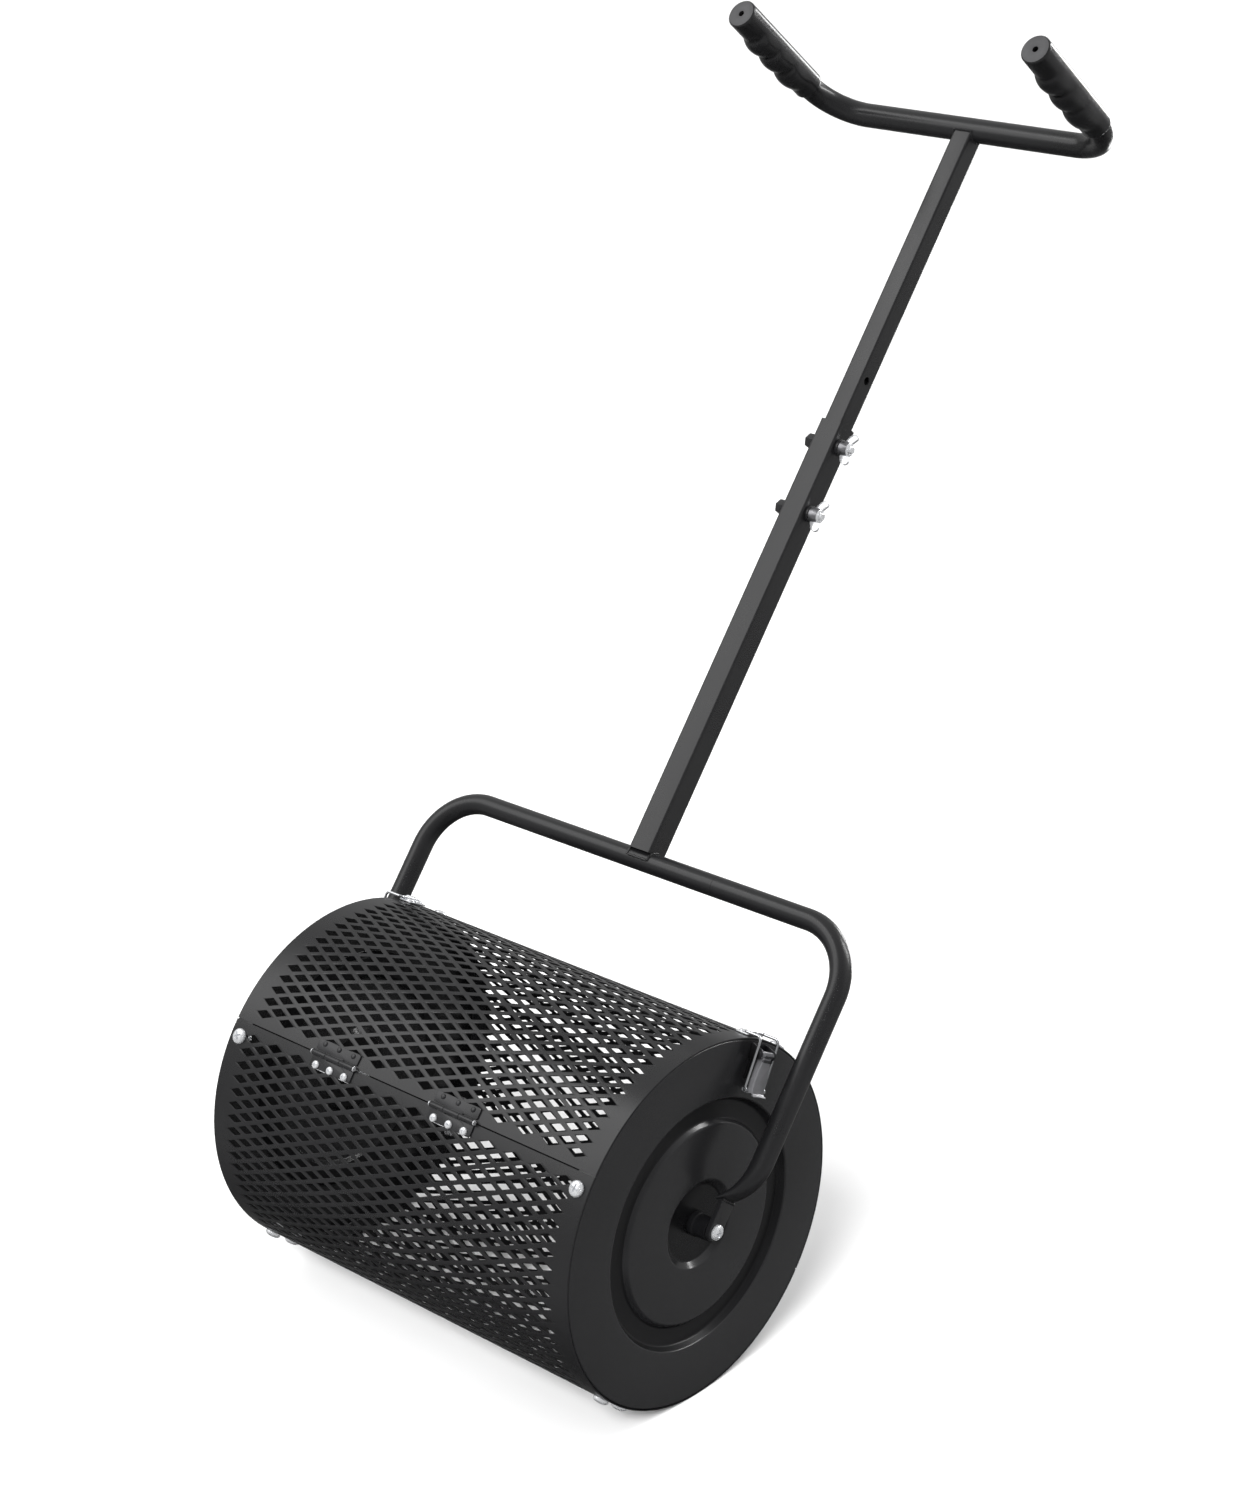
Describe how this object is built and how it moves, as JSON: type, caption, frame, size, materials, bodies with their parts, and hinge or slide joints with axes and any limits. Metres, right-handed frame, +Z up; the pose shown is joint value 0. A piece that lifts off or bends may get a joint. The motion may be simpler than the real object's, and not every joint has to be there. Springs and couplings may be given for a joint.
{
  "type": "lawn roller",
  "caption": "Hand-pushed roller with a mesh drum in a tube yoke, a latched door in the drum, a two-part square shaft and a U-shaped handlebar with rubber grips",
  "frame": {"origin": "on the ground, directly under the middle of the drum's axle, where the drum touches the ground", "axes": "+Z up; +X along the drum's axle towards the drum end on the right when facing the hinge side; +Y the way the handle leans"},
  "size_m": [0.5696, 0.8828, 1.2071],
  "materials": {
    "powder_coat": "black satin powder coat on steel",
    "black_steel": "black coated steel hardware",
    "zinc_plated": "bright zinc-plated steel",
    "satin_steel": "plain pressed steel, satin",
    "grip_rubber": "black moulded rubber",
    "bush_nylon": "black nylon"
  },
  "bodies": {
    "frame": {"yoke_right": "powder_coat", "yoke_left": "powder_coat", "yoke_sleeve": "black_steel", "yoke_tab_right": "powder_coat", "yoke_tab_left": "powder_coat", "axle_bolt_right": "zinc_plated", "axle_bolt_left": "zinc_plated", "axle_nut_right": "zinc_plated", "axle_nut_left": "zinc_plated", "lower_shaft": "powder_coat", "upper_shaft": "powder_coat", "handlebar": "powder_coat", "grip_right": "grip_rubber", "grip_left": "grip_rubber", "shaft_bolt_lower": "black_steel", "shaft_bolt_upper": "black_steel", "bolt_washer_lower": "black_steel", "bolt_washer_upper": "black_steel"},
    "drum": {"end_disc_right": "powder_coat", "end_disc_left": "powder_coat", "hub_bush_right": "bush_nylon", "hub_bush_left": "bush_nylon", "front_panel": "powder_coat", "lower_back_panel": "powder_coat", "upper_back_panel": "powder_coat", "rim_bolt_95deg_right": "zinc_plated", "rim_bolt_95deg_left": "zinc_plated", "rim_bolt_175deg_right": "zinc_plated", "rim_bolt_175deg_left": "zinc_plated", "rim_bolt_185deg_right": "zinc_plated", "rim_bolt_185deg_left": "zinc_plated", "rim_bolt_265deg_right": "zinc_plated", "rim_bolt_265deg_left": "zinc_plated", "rim_bolt_275deg_right": "zinc_plated", "rim_bolt_275deg_left": "zinc_plated", "rim_bolt_355deg_right": "zinc_plated", "rim_bolt_355deg_left": "zinc_plated", "hinge_1_fixed_leaf": "black_steel", "hinge_2_fixed_leaf": "black_steel", "hinge_1_pin": "black_steel", "hinge_2_pin": "black_steel", "hinge_1_screws": "zinc_plated", "hinge_2_screws": "zinc_plated", "latch_base_right": "zinc_plated", "latch_base_left": "zinc_plated"},
    "door": {"door_panel": "powder_coat", "hinge_1_door_leaf": "black_steel", "hinge_2_door_leaf": "black_steel", "hinge_1_rivets": "black_steel", "hinge_2_rivets": "black_steel", "latch_catch_right": "zinc_plated", "latch_catch_left": "zinc_plated", "catch_screws_right": "zinc_plated", "catch_screws_left": "zinc_plated"},
    "lever_right": {"latch_lever_right": "satin_steel"},
    "lever_left": {"latch_lever_left": "satin_steel"},
    "bail_right": {"latch_bail_right": "zinc_plated"},
    "bail_left": {"latch_bail_left": "zinc_plated"},
    "wing_nut_lower_body": {"wing_nut_lower": "zinc_plated"},
    "wing_nut_upper_body": {"wing_nut_upper": "zinc_plated"}
  },
  "joints": [
    {"name": "drum_spin", "type": "hinge", "parent": "frame", "child": "drum", "pos_m": [0, 0, 0.18183], "axis": [1, 0, 0], "continuous": true},
    {"name": "door_hinge", "type": "hinge", "parent": "drum", "child": "door", "pos_m": [0, -0.14709, 0.29469], "axis": [1, 0, 0], "range_deg": [0, 110]},
    {"name": "lever_right_pivot", "type": "hinge", "parent": "drum", "child": "lever_right", "pos_m": [0.25, 0.07718, 0.3333], "axis": [0, -0.891, 0.454], "range_deg": [0, 90]},
    {"name": "lever_left_pivot", "type": "hinge", "parent": "drum", "child": "lever_left", "pos_m": [-0.25, 0.07718, 0.3333], "axis": [0, 0.891, -0.454], "range_deg": [0, 90]},
    {"name": "bail_right_pivot", "type": "hinge", "parent": "lever_right", "child": "bail_right", "pos_m": [0.2485, 0.06129, 0.30211], "axis": [0, -0.891, 0.454], "range_deg": [-180, 0]},
    {"name": "bail_left_pivot", "type": "hinge", "parent": "lever_left", "child": "bail_left", "pos_m": [-0.2485, 0.06129, 0.30211], "axis": [0, 0.891, -0.454], "range_deg": [-180, 0]},
    {"name": "wing_nut_lower_turn", "type": "hinge", "parent": "frame", "child": "wing_nut_lower_body", "pos_m": [0.018, 0.42126, 0.73083], "axis": [1, 0, 0], "continuous": true},
    {"name": "wing_nut_upper_turn", "type": "hinge", "parent": "frame", "child": "wing_nut_upper_body", "pos_m": [0.018, 0.46692, 0.79033], "axis": [1, 0, 0], "continuous": true}
  ],
  "couplings": [
    {"joint": "bail_right_pivot", "follows": "lever_right_pivot", "ratio": -2},
    {"joint": "bail_left_pivot", "follows": "lever_left_pivot", "ratio": -2}
  ]
}
